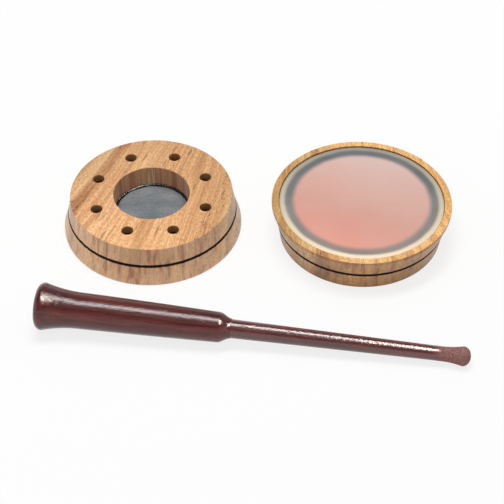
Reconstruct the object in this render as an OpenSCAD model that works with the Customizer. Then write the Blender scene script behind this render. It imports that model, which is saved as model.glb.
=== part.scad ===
// Friction bird call: two turned wooden pot calls with glass playing surfaces,
// one lying face down and one face up, and the hardwood striker that plays them.

/* [Playing surface] */
// Diameter of the glass disc, a stock size that the pot is turned to
surface_d = 88.9; // [80:0.1:102]
// Thickness of the glass disc
surface_t = 3.2; // [2:0.1:5]
// How far the glass lies below the rim
surface_drop = 0.7; // [0.2:0.05:1]
// Bevel round both edges of the glass
surface_bevel = 0.3; // [0.1:0.05:0.6]
// Free width between the glass and the wood round it
seat_gap = 0.22; // [0.1:0.02:0.5]
// Width of the ledge that carries the glass
ledge_w = 3.4; // [2.5:0.1:5]
// Thickness of the glue under the glass and under the soundboard
glue_t = 0.3; // [0.1:0.05:0.6]
// Free width between the glue and the edges of its ledge
glue_margin = 0.25; // [0.1:0.05:0.6]

/* [Wooden pot] */
// Wood left round the seat at the rim
rim_wall = 3.83; // [3:0.01:8]
// How far the side draws in between the rim and the back
side_taper = 4.5; // [2:0.1:5.5]
// Height from the back face to the rim
call_h = 22.2; // [20:0.1:28]
// Height of the straight band under the rim
rim_band_h = 1.8; // [1:0.1:4]
// How far the side is hollowed between rim and back
side_hollow = 0.6; // [0:0.05:1.2]
// Thickness of the floor, which carries the sound holes
floor_t = 4.8; // [3:0.1:8]
// Radius of the rounded outer edges
edge_round = 0.5; // [0.2:0.05:1]
// Radius of the fillets where the chamber walls meet the floor
chamber_fillet = 1.2; // [0.5:0.1:2]

/* [Burnt line round the side] */
// Distance of the line from the rim
line_drop = 11.4; // [8:0.1:15]
// Width of the line
line_w = 1.4; // [0.8:0.1:2.5]
// Depth of the line
line_depth = 0.7; // [0.3:0.05:1.2]

/* [Printed disc under the glass] */
// Thickness of the printed disc
print_t = 0.25; // [0.1:0.05:0.5]
// Free width between the printed disc and the ledge
print_gap = 0.3; // [0.1:0.05:1]

/* [Soundboard and its pedestal] */
// Free width between the soundboard and the wall of the chamber
soundboard_gap = 9.52; // [4:0.01:12]
// Thickness of the slate soundboard
soundboard_t = 3.2; // [2:0.1:6]
// Bevel round both edges of the soundboard
soundboard_bevel = 0.4; // [0.1:0.05:0.8]
// Height of the air between the printed disc and the soundboard
air_gap = 1.85; // [1:0.05:4]
// How far the soundboard stands out over its pedestal
soundboard_lip = 5.3; // [1:0.1:7]
// Wall of the pedestal ring, between the chamber and the port
pedestal_wall = 5.8; // [4:0.1:7]
// Size of the glue bead in the corner between port and soundboard
bead = 1; // [0.5:0.1:1.8]
// Free width between the glue bead and the port's wall
bead_gap = 0.03; // [0.01:0.01:0.1]

/* [Port and sound holes] */
// Diameter of each sound hole
hole_d = 6.35; // [4:0.05:8]
// Number of sound holes
hole_count = 8; // [6:1:10]
// Floor left between the pedestal and the sound holes
hole_web = 1.95; // [1:0.05:4]
// Broken edge at the mouth of the port, the sound holes and the seat
mouth_chamfer = 0.25; // [0.1:0.05:0.5]

/* [Striker handle] */
// Length of the handle
handle_l = 101.2; // [90:0.1:120]
// Diameter of the flared butt
butt_d = 24.6; // [22:0.1:30]
// Diameter of the handle where the flare has run out
grip_d = 18.8; // [17:0.1:21]
// Diameter of the handle at its shoulder
shoulder_d = 15.6; // [13:0.1:16.5]
// Length of the flare from the widest place of the butt
flare_l = 18.2; // [12:0.1:25]
// How far the handle swells between flare and shoulder
handle_belly = 0.12; // [0:0.02:0.5]
// Length of the S-shaped shoulder down to the nose
shoulder_l = 6.4; // [4:0.1:10]
// How far the nose stands out round the peg
nose_lip = 0.3; // [0.1:0.05:0.8]
// Rounding of the butt's edge
butt_round = 3.6; // [2:0.1:6]
// Height of the domed end of the butt
butt_dome = 1.2; // [0.2:0.1:2]

/* [Striker peg] */
// Length of the peg outside the handle
peg_reach = 121.1; // [100:0.1:140]
// Diameter of the peg at the handle
peg_root_d = 9.74; // [9:0.02:11]
// Diameter of the peg at its thinnest, before the tip
peg_neck_d = 7.56; // [6.5:0.02:8.5]
// Diameter of the flared tip
tip_d = 10.1; // [9:0.1:12]
// Length of the tip's flare
tip_flare_l = 10.4; // [6:0.1:15]
// Height of the rounded end of the tip, which plays the glass
tip_cap = 4; // [2:0.1:6]
// Diameter of the tenon glued into the handle
tenon_d = 7.9; // [6:0.1:8.5]
// Length of the tenon
tenon_l = 25.4; // [15:0.1:40]
// Radial clearance of the tenon in its socket
tenon_gap = 0.05; // [0.02:0.01:0.1]
// Depth left free beyond the tenon for glue
socket_relief = 1; // [0.5:0.1:3]

/* [Layout on the table] */
// Gap between the two calls
call_gap = 16.5; // [8:0.5:40]
// How much nearer the face-up call lies
call_stagger = 5.8; // [0:0.1:12]
// Turn of the face-down call about its own axis, in degrees
down_turn = 1.4; // [-22:0.1:22]
// How far the striker's butt lies outside the face-down call
striker_overhang = 8; // [0:0.1:30]
// Distance from the calls' near edge to the butt's axis
striker_gap = 26; // [20:0.1:60]
// Turn of the striker on the table, in degrees
striker_yaw = -7.4; // [-12:0.1:0]

/* [Hidden] */
$fn = 96;
cut = 1;                                // overrun of every cut
side_steps = 8;                         // straight stretches of each part of the side
line_steps = 8;                         // straight stretches across the burnt line
round_steps = 8;                        // straight stretches of a rounded edge
flare_steps = 20;                       // straight stretches of a flare
belly_steps = 10;                       // straight stretches of the handle's swelling
dome_steps = 6;                         // straight stretches of the butt's domed end
cap_steps = 14;                         // straight stretches of the tip's rounded end

// Heights above the back face, with the call face up
side_top = call_h - rim_band_h;
line_z = call_h - line_drop;
surface_z = call_h - surface_drop - surface_t;
ledge_z = surface_z - glue_t;
print_z = surface_z - print_t;
soundboard_z = print_z - air_gap - soundboard_t;
pedestal_z = soundboard_z - glue_t;

// Radii from the glass outwards
surface_r = surface_d / 2;
seat_r = surface_r + seat_gap;
rim_r = seat_r + rim_wall;
back_r = rim_r - side_taper;

// Radii from the seat inwards, down to the port of 41.3
chamber_r = seat_r - ledge_w;
print_r = chamber_r - print_gap;
soundboard_r = chamber_r - soundboard_gap;
pedestal_r = soundboard_r - soundboard_lip;
port_r = pedestal_r - pedestal_wall;
hole_r = hole_d / 2;
hole_ring_r = pedestal_r + hole_web + hole_r;

// Stations along the striker, from the end of the butt
butt_r = butt_d / 2;
grip_r = grip_d / 2;
shoulder_r = shoulder_d / 2;
root_r = peg_root_d / 2;
nose_r = root_r + nose_lip;
neck_r = peg_neck_d / 2;
tip_r = tip_d / 2;
tenon_r = tenon_d / 2;
butt_s = butt_dome + butt_round;
flare_end_s = butt_s + flare_l;
shoulder_s = handle_l - shoulder_l;
striker_l = handle_l + peg_reach;
tip_s = striker_l - tip_cap;
tip_flare_s = tip_s - tip_flare_l;

// Value between a and b at the share t of the way
function mix(a, b, t) = a + (b - a) * t;

// The same, leaving a and reaching b without a corner
function ease(a, b, t) = mix(a, b, t * t * (3 - 2 * t));

// Rise of a shallow hump of height h over the share t of its length
function hump(h, t) = 4 * h * t * (1 - t);

// Points of an arc about [x, y], from angle a0 to angle a1
function arc(x, y, r, a0, a1) =
    [for (i = [0:round_steps]) let (a = mix(a0, a1, i / round_steps)) [x + r * cos(a), y + r * sin(a)]];

// Radius of the pot's side at height z: a cone with a slight hollow
function side_r(z) = mix(back_r, rim_r, z / side_top) - hump(side_hollow, z / side_top);

// Points of the side between two heights
function side(z0, z1) =
    [for (i = [0:side_steps]) let (z = mix(z0, z1, i / side_steps)) [side_r(z), z]];

// Points across the burnt line, a round-bottomed groove
function burnt_line() =
    [for (i = [1:line_steps - 1])
        let (t = i / line_steps, z = mix(line_z - line_w / 2, line_z + line_w / 2, t))
        [side_r(z) - line_depth * sin(180 * t), z]];

// Outline of the turned blank, from the axis at the back round to the axis at the rim
function blank_outline() = concat(
    [[0, 0]],
    arc(side_r(edge_round) - edge_round, edge_round, edge_round, -90, 0),
    side(edge_round + edge_round / round_steps, line_z - line_w / 2),
    burnt_line(),
    side(line_z + line_w / 2, side_top),
    arc(rim_r - edge_round, call_h - edge_round, edge_round, 0, 90),
    [[0, call_h]]
);

// Outline of the sound chamber between the outer wall and the pedestal
function chamber_outline() = concat(
    arc(chamber_r - chamber_fillet, floor_t + chamber_fillet, chamber_fillet, 0, -90),
    arc(pedestal_r + chamber_fillet, floor_t + chamber_fillet, chamber_fillet, -90, -180),
    [[pedestal_r, pedestal_z], [0, pedestal_z], [0, call_h + cut], [chamber_r, call_h + cut]]
);

// Outline of the seat that the glass lies in, with a broken edge at the rim
function seat_outline() = [
    [0, ledge_z], [seat_r, ledge_z], [seat_r, call_h - mouth_chamfer],
    [seat_r + mouth_chamfer + cut, call_h + cut], [0, call_h + cut]
];

// Hole with a broken edge at its mouth, going up from z = 0
module drilled(r, h) {
    translate([0, 0, -cut]) cylinder(r = r, h = h + cut);
    translate([0, 0, -cut]) cylinder(r1 = r + mouth_chamfer + cut, r2 = r, h = mouth_chamfer + cut);
}

// Disc with both its edges bevelled
module bevelled_disc(r, t, bevel) {
    rotate_extrude()
        polygon([[0, 0], [r - bevel, 0], [r, bevel], [r, t - bevel], [r - bevel, t], [0, t]]);
}

// Flat ring from radius r0 to r1
module ring(r0, r1, t) {
    rotate_extrude()
        polygon([[r0, 0], [r1, 0], [r1, t], [r0, t]]);
}

// Turned pot: side with its burnt line, seat for the glass, sound chamber,
// pedestal, port and sound holes
module pot() {
    color("#c99f6c") difference() {
        rotate_extrude() polygon(blank_outline());
        rotate_extrude() polygon(seat_outline());
        rotate_extrude() polygon(chamber_outline());
        drilled(port_r, call_h);
        for (i = [0:hole_count - 1])
            rotate([0, 0, 360 * (i + 1 / 2) / hole_count])
                translate([hole_ring_r, 0, 0])
                    drilled(hole_r, floor_t + cut);
    }
}

// Frosted glass disc that the striker plays
module glass() {
    color("#d9dcd6") translate([0, 0, surface_z])
        bevelled_disc(surface_r, surface_t, surface_bevel);
}

// Glue between the ledge and the glass
module glass_glue() {
    color("#e6e0cd") translate([0, 0, ledge_z])
        ring(chamber_r + glue_margin, seat_r - glue_margin, glue_t);
}

// Printed disc on the underside of the glass
module print_disc() {
    color("#e08a6c") translate([0, 0, print_z]) cylinder(r = print_r, h = print_t);
}

// Slate disc on the pedestal, which answers the glass
module soundboard() {
    color("#6f7376") translate([0, 0, soundboard_z])
        bevelled_disc(soundboard_r, soundboard_t, soundboard_bevel);
}

// Glue between pedestal and soundboard, with its hollow bead in the port's corner
module soundboard_glue() {
    edge_r = port_r - bead_gap;
    color("#3c3a38") rotate_extrude() polygon(concat(
        [[pedestal_r - glue_margin, pedestal_z], [pedestal_r - glue_margin, soundboard_z]],
        [for (i = [0:round_steps])
            let (a = 90 * i / round_steps)
            [edge_r - bead * (1 - sin(a)), soundboard_z - bead * (1 - cos(a))]],
        [[edge_r, pedestal_z]]
    ));
}

// Radius of the handle without its flare at station s
function grip_at(s) =
    let (t = (s - flare_end_s) / (shoulder_s - flare_end_s))
    mix(grip_r, shoulder_r, t) + hump(handle_belly, max(0, t));

// Outline of the handle, as [radius, station], from the middle of the butt to the nose
function handle_outline() = concat(
    [for (i = [0:dome_steps - 1])
        let (t = i / dome_steps)
        [(butt_r - butt_round) * t, butt_dome * t * t]],
    arc(butt_r - butt_round, butt_s, butt_round, -90, -90 / round_steps),
    [for (i = [0:flare_steps - 1])
        let (t = i / flare_steps, s = mix(butt_s, flare_end_s, t))
        [grip_at(s) + (butt_r - grip_at(butt_s)) * (1 - t) * (1 - t), s]],
    [for (i = [0:belly_steps])
        let (s = mix(flare_end_s, shoulder_s, i / belly_steps))
        [grip_at(s), s]],
    [for (i = [1:flare_steps])
        let (t = i / flare_steps)
        [ease(shoulder_r, nose_r, t), mix(shoulder_s, handle_l, t)]],
    [[0, handle_l]]
);

// Outline of the peg outside the handle, from the nose to the end of the tip
function peg_outline() = concat(
    [[root_r, handle_l], [neck_r, tip_flare_s]],
    [for (i = [1:flare_steps])
        let (t = i / flare_steps)
        [mix(neck_r, tip_r, t * t), mix(tip_flare_s, tip_s, t)]],
    [for (i = [1:cap_steps - 1])
        let (a = 90 * i / cap_steps)
        [tip_r * cos(a), tip_s + tip_cap * sin(a)]],
    [[0, striker_l]]
);

// Handle, turned from one piece, with the socket for the peg
module handle() {
    color("#5a2a2c") difference() {
        rotate_extrude() polygon(handle_outline());
        translate([0, 0, handle_l - tenon_l - socket_relief])
            cylinder(r = tenon_r + tenon_gap, h = tenon_l + socket_relief + cut);
    }
}

// Peg with its tenon, tapering shaft and flared playing tip
module peg() {
    color("#6b3a3a") rotate_extrude() polygon(concat(
        [[0, handle_l - tenon_l], [tenon_r, handle_l - tenon_l], [tenon_r, handle_l]],
        peg_outline()
    ));
}

// The striker lies on its butt and its tip, so its axis falls a little towards the tip
striker_tilt = atan((butt_r - tip_r) / (tip_s - butt_s));
striker_points = concat(handle_outline(), peg_outline());
axis_h = max([for (p = striker_points) p[0] * cos(striker_tilt) + p[1] * sin(striker_tilt)]);
striker_dir = [
    cos(striker_tilt) * cos(striker_yaw),
    cos(striker_tilt) * sin(striker_yaw),
    -sin(striker_tilt)
];

// Places on the table with the face-down call at the middle
up_place = [2 * rim_r + call_gap, -call_stagger];
butt_place = [-rim_r - striker_overhang, -rim_r - striker_gap];

// How far the striker reaches along axis k, to the side given by sign
function striker_reach(k, sign) =
    max([for (p = striker_points)
        sign * (butt_place[k] + striker_dir[k] * p[1]) + p[0] * sqrt(1 - striker_dir[k] * striker_dir[k])]);

// The middle of everything on the table, which becomes the origin
middle_x = (max(up_place[0] + rim_r, striker_reach(0, 1)) - max(rim_r, striker_reach(0, -1))) / 2;
middle_y = (rim_r - max(rim_r - up_place[1], striker_reach(1, -1))) / 2;

// Face down: resting on the rim, with the back face up
module face_down() {
    translate([-middle_x, -middle_y, call_h]) rotate([180, 0, down_turn]) children();
}

// Face up: resting on the back face
module face_up() {
    translate([up_place[0] - middle_x, up_place[1] - middle_y, 0]) children();
}

// The striker's own axis laid along the table
module lying() {
    translate([butt_place[0] - middle_x, butt_place[1] - middle_y, axis_h])
        rotate([0, 90 + striker_tilt, striker_yaw]) children();
}

face_down() pot();  // down_call_pot
face_down() glass();  // down_call_glass
face_down() glass_glue();  // down_call_glass_glue
face_down() print_disc();  // down_call_print
face_down() soundboard();  // down_call_soundboard
face_down() soundboard_glue();  // down_call_soundboard_glue
face_up() pot();  // up_call_pot
face_up() glass();  // up_call_glass
face_up() glass_glue();  // up_call_glass_glue
face_up() print_disc();  // up_call_print
face_up() soundboard();  // up_call_soundboard
face_up() soundboard_glue();  // up_call_soundboard_glue
lying() handle();  // striker_handle
lying() peg();  // striker_peg
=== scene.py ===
# %% [markdown]
# # Two pot calls and a striker
#
# A pot call is a shallow wooden pot with a disc of frosted glass glued into its rim. The tip
# of a hardwood striker is drawn over the frost, the glass rings, and a slate disc inside the
# pot answers it. One call lies face down here and shows the holes in its back, the other
# lies face up, and the striker lies in front of them.
#
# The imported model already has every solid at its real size. This script keeps those solids
# and gives them what the engineering model lacks: grain, frost, lacquer, glue and light.
# Blender reads Python from top to bottom, so each cell below builds on the ones before it.

import math

import bpy
from mathutils import Euler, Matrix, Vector


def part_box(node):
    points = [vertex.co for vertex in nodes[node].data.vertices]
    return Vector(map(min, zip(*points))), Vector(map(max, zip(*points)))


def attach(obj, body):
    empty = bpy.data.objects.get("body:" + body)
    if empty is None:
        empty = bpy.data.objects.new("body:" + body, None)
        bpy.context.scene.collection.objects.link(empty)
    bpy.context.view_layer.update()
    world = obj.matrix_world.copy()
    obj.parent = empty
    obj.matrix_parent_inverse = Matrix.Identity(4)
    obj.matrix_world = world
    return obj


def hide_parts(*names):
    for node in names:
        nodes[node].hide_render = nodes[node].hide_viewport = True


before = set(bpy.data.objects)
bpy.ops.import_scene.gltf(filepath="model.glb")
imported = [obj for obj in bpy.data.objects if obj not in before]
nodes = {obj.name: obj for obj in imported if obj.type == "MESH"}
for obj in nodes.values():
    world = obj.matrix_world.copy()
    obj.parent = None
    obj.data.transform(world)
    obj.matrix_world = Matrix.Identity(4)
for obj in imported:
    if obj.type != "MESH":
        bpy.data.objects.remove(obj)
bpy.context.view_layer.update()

# %% [markdown]
# ## Three small helpers
#
# The drawings of this object are in millimetres and Blender works in metres, so sizes are
# written in millimetres and multiplied by `MM` where they are used.
#
# A given colour is an sRGB value, but a shader calculates with linear light. `linear`
# turns one into the other. Without it every colour would come out too pale.
#
# A material is a tree of nodes. `add` makes one node, sets its options and joins its inputs,
# so that a material reads as a list of what it is made of. An input may be a plain value,
# another node (its first output in use is meant) or a given output of a node.

# %% Millimetres, colours and nodes
MM = 0.001


def linear(colour):
    """The linear colour of a written one such as #E8B887."""
    parts = [int(colour[i:i + 2], 16) / 255 for i in (1, 3, 5)]
    return [p / 12.92 if p <= 0.04045 else ((p + 0.055) / 1.055) ** 2.4 for p in parts] + [1]


def add(tree, kind, inputs=None, stops=(), **settings):
    """Adds a node with its settings, the links and values of its inputs, and a ramp's stops."""
    node = tree.nodes.new(kind)
    for name, value in settings.items():
        setattr(node, name, value)
    for socket, value in (inputs or {}).items():
        if isinstance(value, bpy.types.Node):
            value = next(output for output in value.outputs if output.enabled)
        if isinstance(value, bpy.types.NodeSocket):
            tree.links.new(value, node.inputs[socket])
        else:
            node.inputs[socket].default_value = value
    if stops:
        ramp = node.color_ramp
        while len(ramp.elements) < len(stops):
            ramp.elements.new(1)
        for element, (place, colour) in zip(ramp.elements, stops):
            element.position = place
            element.color = linear(colour)
    return node


def new_material(name):
    """An empty material and its node tree."""
    material = bpy.data.materials.new(name)
    material.use_nodes = True
    material.node_tree.nodes.clear()
    return material, material.node_tree


print("the middle grey #808080 is", round(linear("#808080")[0], 3), "in linear light")

# %% [markdown]
# ## The camera
#
# The photograph looks down at about 45 degrees from far enough away that the rims hardly
# narrow towards the back. A long lens does the same. The camera stands on a sphere round a
# point on the table and is turned to face it, so three numbers give the whole view: distance,
# height above the table in degrees, and focal length.

# %% Camera
VIEW_POINT = Vector((0.85, 6.33, 0)) * MM
VIEW_HEIGHT = math.radians(44.6)
VIEW_DISTANCE = 0.8
LENS = 105.7

lens = bpy.data.cameras.new("long_lens")
lens.lens = LENS
lens.sensor_width = 36
lens.clip_start = 0.02
camera = bpy.data.objects.new("camera", lens)
away = Vector((0, -math.cos(VIEW_HEIGHT), math.sin(VIEW_HEIGHT)))
camera.location = VIEW_POINT + away * VIEW_DISTANCE
camera.rotation_euler = (math.pi / 2 - VIEW_HEIGHT, 0, 0)
bpy.context.scene.collection.objects.link(camera)
bpy.context.scene.camera = camera
print("camera at", [round(v, 3) for v in camera.location])

# %% [markdown]
# ## Lamps
#
# The Standard view shows a colour about as it is written, so light and colours can be judged
# apart from each other.
#
# The long white line on the lacquered striker tells how the object was lit. A round stick shows
# a lamp as a line as wide as the lamp, and this line is a tenth of the stick's width, so the
# lamp is a strip softbox, over the table and a little behind it. A thin tube nearer to the
# camera draws the second, weaker line. The flare of the butt leans to the right and shines
# broadly, so a large window stands on that side.
#
# Lamps strong enough for such highlights would bleach the pale wood. In a studio, flags keep
# their light off it. Here two lamps are linked to the glossy dark pieces alone, the striker and
# the black glue, and switched off for matte surfaces: they are seen in the gloss of these and
# throw no light on the rest.

# %% Lamps
LAMP_DISTANCE = 0.9     # metres from the middle of the table
STRIP = {"size": (0.54, 0.2), "degrees": 96, "to_right": -3}
TUBE = {"size": (0.5, 0.09), "degrees": 62}
WINDOW = {"size": (0.36, 0.5), "degrees": 83, "to_right": 26}
STRIP_WATTS = 5.1
TUBE_WATTS = 0.2
STRIP_GLEAM = 4.2       # watts of the lamps that only the gloss sees
WINDOW_GLEAM = 22.0

view = bpy.context.scene.view_settings
view.view_transform = "Standard"
gleaming = bpy.data.collections.new("reached_by_gleam_lamps")


def lamp_over(name, watts, size, degrees, to_right=0.0, only_mirrored=False):
    """A lamp aimed at the table: 90 degrees is straight up, less is nearer the camera."""
    lamp = bpy.data.lights.new(name, "AREA")
    lamp.shape = "RECTANGLE"
    lamp.size, lamp.size_y = size
    lamp.energy = watts
    tilt, lean = math.radians(degrees), math.radians(to_right)
    upward = Vector((0, -math.cos(tilt), math.sin(tilt)))
    way = upward * math.cos(lean) + Vector((math.sin(lean), 0, 0))
    holder = bpy.data.objects.new(name, lamp)
    holder.location = way * LAMP_DISTANCE
    holder.rotation_euler = way.to_track_quat("Z", "Y").to_euler()
    if only_mirrored:
        lamp.color = linear("#FFEEE2")[:3]
        holder.visible_diffuse = False
        holder.light_linking.receiver_collection = gleaming
    bpy.context.scene.collection.objects.link(holder)


lamp_over("strip_softbox", STRIP_WATTS, **STRIP)
lamp_over("tube", TUBE_WATTS, **TUBE)
lamp_over("strip_gleam", STRIP_GLEAM, only_mirrored=True, **STRIP)
lamp_over("window_gleam", WINDOW_GLEAM, only_mirrored=True, **WINDOW)

# %% [markdown]
# ## The room
#
# The rest of the light comes from a pale room: the world. Its walls are white, which gives the
# white background, and its ceiling is darker. A glossy dark stick needs something dark to
# mirror, or its colour drowns in haze. `Is Camera Ray`, `Is Glossy Ray` and `Is Transmission
# Ray` tell when the room is looked at, directly, mirrored or through glass. Only then is it
# at full white, so the white throws no extra light on the wood.

# %% Room
ROOM_LIGHT = 0.40       # strength with which the room lights things
CEILING = 0.14          # how bright the ceiling looks beside the white walls
WALL_TOP = 0.3          # height of a direction: 0 is level, 1 straight up
CEILING_EDGE = 0.6


def seen(tree):
    """1 where the camera sees something, directly, mirrored or through glass."""
    path = add(tree, "ShaderNodeLightPath").outputs
    either = {0: path["Is Camera Ray"], 1: path["Is Glossy Ray"]}
    either = add(tree, "ShaderNodeMath", either, operation="MAXIMUM")
    through = {0: either, 1: path["Is Transmission Ray"]}
    return add(tree, "ShaderNodeMath", through, operation="MAXIMUM")


world = bpy.data.worlds.new("white_room")
world.use_nodes = True
air = world.node_tree
air.nodes.clear()
direction = add(air, "ShaderNodeTexCoord").outputs["Generated"]
upward = add(air, "ShaderNodeSeparateXYZ", {0: direction}).outputs[2]
walls = add(air, "ShaderNodeMapRange", {0: upward, 1: WALL_TOP, 2: CEILING_EDGE, 3: 1.0, 4: CEILING})
glow = add(air, "ShaderNodeMix", {0: seen(air), 2: ROOM_LIGHT, 3: walls}, data_type="FLOAT")
sky = add(air, "ShaderNodeBackground", {"Color": linear("#FFFFFF"), "Strength": glow})
add(air, "ShaderNodeOutputWorld", {"Surface": sky})
bpy.context.scene.world = world
print(world.name, "lights with a strength of", ROOM_LIGHT)

# %% [markdown]
# ## The table
#
# The table is white paper. To the camera it is part paper and part a plain white glow, which
# keeps it white and lets a soft shadow stay under each piece. Far from the calls, where there
# is no shadow to show, it is all glow.

# %% Table
SHADOW_REACH = 0.13     # metres from the middle, within which shadows lie
GLOW_FROM = 0.4
GLOW_SHARE = 0.80       # share of the glow near the calls
TABLE_HALF = 3.0
TABLE_DROP = 0.05 * MM

paper, tree = new_material("white_paper_table")
spot = add(tree, "ShaderNodeTexCoord").outputs["Object"]
reach = add(tree, "ShaderNodeVectorMath", {0: spot}, operation="LENGTH")
plain = {0: reach, 1: SHADOW_REACH, 2: GLOW_FROM, 3: GLOW_SHARE, 4: 1.0}
plain = add(tree, "ShaderNodeMapRange", plain)
plain = add(tree, "ShaderNodeMath", {0: plain, 1: seen(tree)}, operation="MULTIPLY")
sheet = add(tree, "ShaderNodeBsdfDiffuse", {"Color": linear("#FAFAFA")})
white = add(tree, "ShaderNodeEmission", {"Color": linear("#FFFFFF"), "Strength": 1.0})
top = add(tree, "ShaderNodeMixShader", {0: plain, 1: sheet, 2: white})
add(tree, "ShaderNodeOutputMaterial", {"Surface": top})

table_mesh = bpy.data.meshes.new("table")
signs = ((-1, -1), (1, -1), (1, 1), (-1, 1))
corners = [(x * TABLE_HALF, y * TABLE_HALF, -TABLE_DROP) for x, y in signs]
table_mesh.from_pydata(corners, [], [(0, 1, 2, 3)])
table_mesh.materials.append(paper)
table = bpy.data.objects.new("table", table_mesh)
bpy.context.scene.collection.objects.link(table)
print("table", 2 * TABLE_HALF, "m wide")

# %% [markdown]
# ## Where each call stands
#
# Every pattern on a call is worked out round the call's own axis, in millimetres, with heights
# counted from its back face. The box of the pot gives the axis, so nothing is fitted by hand.
# The face-down call is the same pot upside down, so its heights count down from the top.

# %% Places of the calls
def call_frame(call, back_up):
    """The axis of a call at its back face, and the sign of its heights."""
    low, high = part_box(call + "_pot")
    middle = (low + high) / 2
    middle.z = high.z if back_up else low.z
    return middle, -1 if back_up else 1


CALLS = {"down_call": call_frame("down_call", True), "up_call": call_frame("up_call", False)}
for call, (place, sign) in CALLS.items():
    print(call, [round(v / MM, 2) for v in place], "heights run", "down" if sign < 0 else "up")


def on_call(tree, call, turn=0.0):
    """The spot's place on a call in millimetres, turned so that X runs along `turn` degrees."""
    place, sign = CALLS[call]
    spot = add(tree, "ShaderNodeTexCoord")
    return add(
        tree, "ShaderNodeMapping",
        {"Vector": spot.outputs["Object"], "Location": place,
         "Rotation": (0, 0, math.radians(turn)), "Scale": (MM, MM, sign * MM)},
        vector_type="TEXTURE",
    )


def from_axis(tree, point):
    """Distance of a point from the call's axis, in millimetres."""
    flat = add(tree, "ShaderNodeVectorMath", {0: point, 1: (1, 1, 0)}, operation="MULTIPLY")
    return add(tree, "ShaderNodeVectorMath", {0: flat}, operation="LENGTH")


# %% [markdown]
# ## The turned pots: open-grained hardwood
#
# Wood is built up in layers, so its picture isn't painted on but fills the block, and every cut
# shows another slice of it. A 3-D texture does the same: the grain runs across the back face,
# turns into upright stripes on the side and goes down the wall of the port without a seam.
#
# Everything is measured in one bent space: X along the grain, Y across it, both wandering a
# little as a real tree does. Noise in that space, squeezed across the grain, gives streaks.

# %% Space of the grain
GRAIN_FAN = 0.0037      # how much the lines spread, per millimetre along the grain
SWAY = 4.0              # how far a line wanders to the side, in millimetres


def blotches(tree, point, lengths, detail=2.0, rough=0.5):
    """A pattern of blotches with about these lengths in millimetres along X, Y and Z."""
    fit = [1 / length for length in lengths]
    small = add(tree, "ShaderNodeVectorMath", {0: point, 1: fit}, operation="MULTIPLY")
    return add(tree, "ShaderNodeTexNoise",
               {"Vector": small, "Scale": 1.0, "Detail": detail, "Roughness": rough})


def grain_space(tree, point, shift):
    """The point with its place across the grain bent as the growth layers are."""
    bend = blotches(tree, point, (58, 58, 58), 3.5, 0.6)
    x, y, z = add(tree, "ShaderNodeSeparateXYZ", {0: point}).outputs
    across = add(tree, "ShaderNodeMath", {0: bend, 1: SWAY, 2: y}, operation="MULTIPLY_ADD")
    across = add(tree, "ShaderNodeMath", {0: across, 1: shift - SWAY / 2}, operation="ADD")
    fan = add(tree, "ShaderNodeMath", {0: x, 1: GRAIN_FAN, 2: 1.0}, operation="MULTIPLY_ADD")
    across = add(tree, "ShaderNodeMath", {0: across, 1: fan}, operation="MULTIPLY")
    return add(tree, "ShaderNodeCombineXYZ", {0: x, 1: across, 2: z}), across


print("over 80 mm the grain lines spread by", round(80 * GRAIN_FAN * 100), "percent")

# %% [markdown]
# ## Colour of the grain, from the coarse to the fine
#
# Three sizes of pattern lie over each other. Growth bands change the tone every 5 to 10 mm.
# Streaks of about 1.5 mm lie inside them, pinkish ones beside olive ones. Single fibres change
# it once more, within a millimetre.
#
# Each band has its own colour. A ramp runs once across the blank, and `spread` says where on it
# a spot lies. It wanders a little, because no tree grows evenly.

# %% Growth bands, streaks and fibres
BLANK_W = 92            # millimetres of wood that the list of bands covers
AXIS_BAND = 0.47        # about where in it the axis of an unshifted call lies
BANDS = [               # tone from one edge of the blank to the other
    (0.005, "#EACAA0"), (0.045, "#E6BA8A"), (0.075, "#DAA876"), (0.15, "#DDA877"), (0.20, "#ECB684"),
    (0.38, "#EFBA88"), (0.57, "#F3BF8D"), (0.70, "#F7C797"), (0.765, "#E0AA7B"), (0.805, "#E4B182"),
    (0.830, "#C28C61"), (0.875, "#BE8B64"), (0.892, "#E6BA8C"), (0.925, "#E8C49A"), (0.985, "#CCA274"),
]
STREAKS = [(0.32, "#8F5837"), (0.43, "#CC9060"), (0.54, "#EAB47A"), (0.66, "#FFDCA4")]
LAYERS = [(0.36, "#E2D8CA"), (0.46, "#FAF5EE"), (0.52, "#FFFFFF"), (0.58, "#F0E6DA"), (0.66, "#FFFFFC")]
MULTIPLIED = {"data_type": "RGBA", "blend_type": "MULTIPLY"}


def grain_tone(tree, bent, across):
    """Colour of the cut wood, its long streaks, and where in the list of bands the spot lies."""
    wander = blotches(tree, bent, (90, 7, 60))
    spread = add(tree, "ShaderNodeMath", {0: across, 1: 1 / BLANK_W, 2: AXIS_BAND},
                 operation="MULTIPLY_ADD")
    spread = add(tree, "ShaderNodeMath", {0: wander, 1: 0.06, 2: spread}, operation="MULTIPLY_ADD")
    bands = add(tree, "ShaderNodeValToRGB", {0: spread}, stops=BANDS)

    streak = blotches(tree, bent, (45, 1.7, 40), 2.0, 0.6)
    warm = add(tree, "ShaderNodeValToRGB", {0: streak}, stops=STREAKS)
    tone = add(tree, "ShaderNodeMix", {0: 0.28, 6: bands, 7: warm}, data_type="RGBA")
    layer = blotches(tree, bent, (85, 3.6, 60), 1.5)
    layer = add(tree, "ShaderNodeValToRGB", {0: layer}, stops=LAYERS)
    tone = add(tree, "ShaderNodeMix", {0: 1.0, 6: tone, 7: layer}, **MULTIPLIED)

    fibre = blotches(tree, bent, (2.0, 0.75, 2.0), 2.0, 0.7)
    shade = add(tree, "ShaderNodeMapRange", {0: fibre, 1: 0.32, 2: 0.68, 3: 0.70, 4: 1.26})
    tone = add(tree, "ShaderNodeMix", {0: 1.0, 6: tone, 7: shade}, **MULTIPLIED)
    return tone, streak, spread


print("growth bands over", round((BANDS[-1][0] - BANDS[0][0]) * BLANK_W), "mm of wood")

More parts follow.
